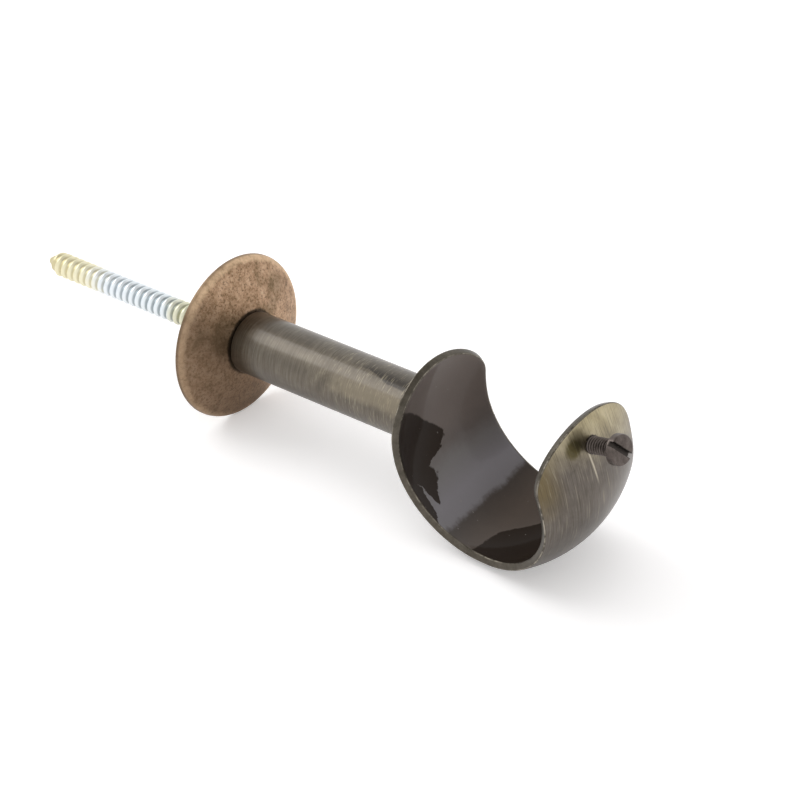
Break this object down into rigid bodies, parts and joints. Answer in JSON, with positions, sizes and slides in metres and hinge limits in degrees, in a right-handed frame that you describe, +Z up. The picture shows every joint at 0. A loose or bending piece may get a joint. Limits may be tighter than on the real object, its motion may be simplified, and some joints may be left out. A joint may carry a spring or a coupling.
{
  "type": "curtain pole bracket",
  "caption": "Wall bracket with an open dished cup that holds a curtain pole, a round stem, a domed rose, a hanger bolt and a slotted clamping screw.",
  "frame": {"origin": "centre of the rose's wall face, on the hanger bolt's axis", "axes": "+X out from the wall along the stem, +Y along the pole, +Z up, out of the cup's mouth"},
  "size_m": [0.1798, 0.04, 0.0459],
  "materials": {
    "bolt": "yellow passivated zinc, bluish in places",
    "rose": "mottled antique brass, lacquered",
    "stem": "brushed antique brass, dark lacquer",
    "cup": "brushed antique brass, dark lacquer",
    "screw": "dark bronze"
  },
  "bodies": {
    "bracket": {"hanger_bolt": "bolt", "rose": "rose", "stem": "stem", "cup": "cup"},
    "screw": {"clamp_screw": "screw"}
  },
  "joints": [
    {"name": "clamp_travel", "type": "slide", "parent": "bracket", "child": "screw", "axis": [-0.9781, 0, -0.2079], "range_m": [-0.002, 0.0064]}
  ]
}
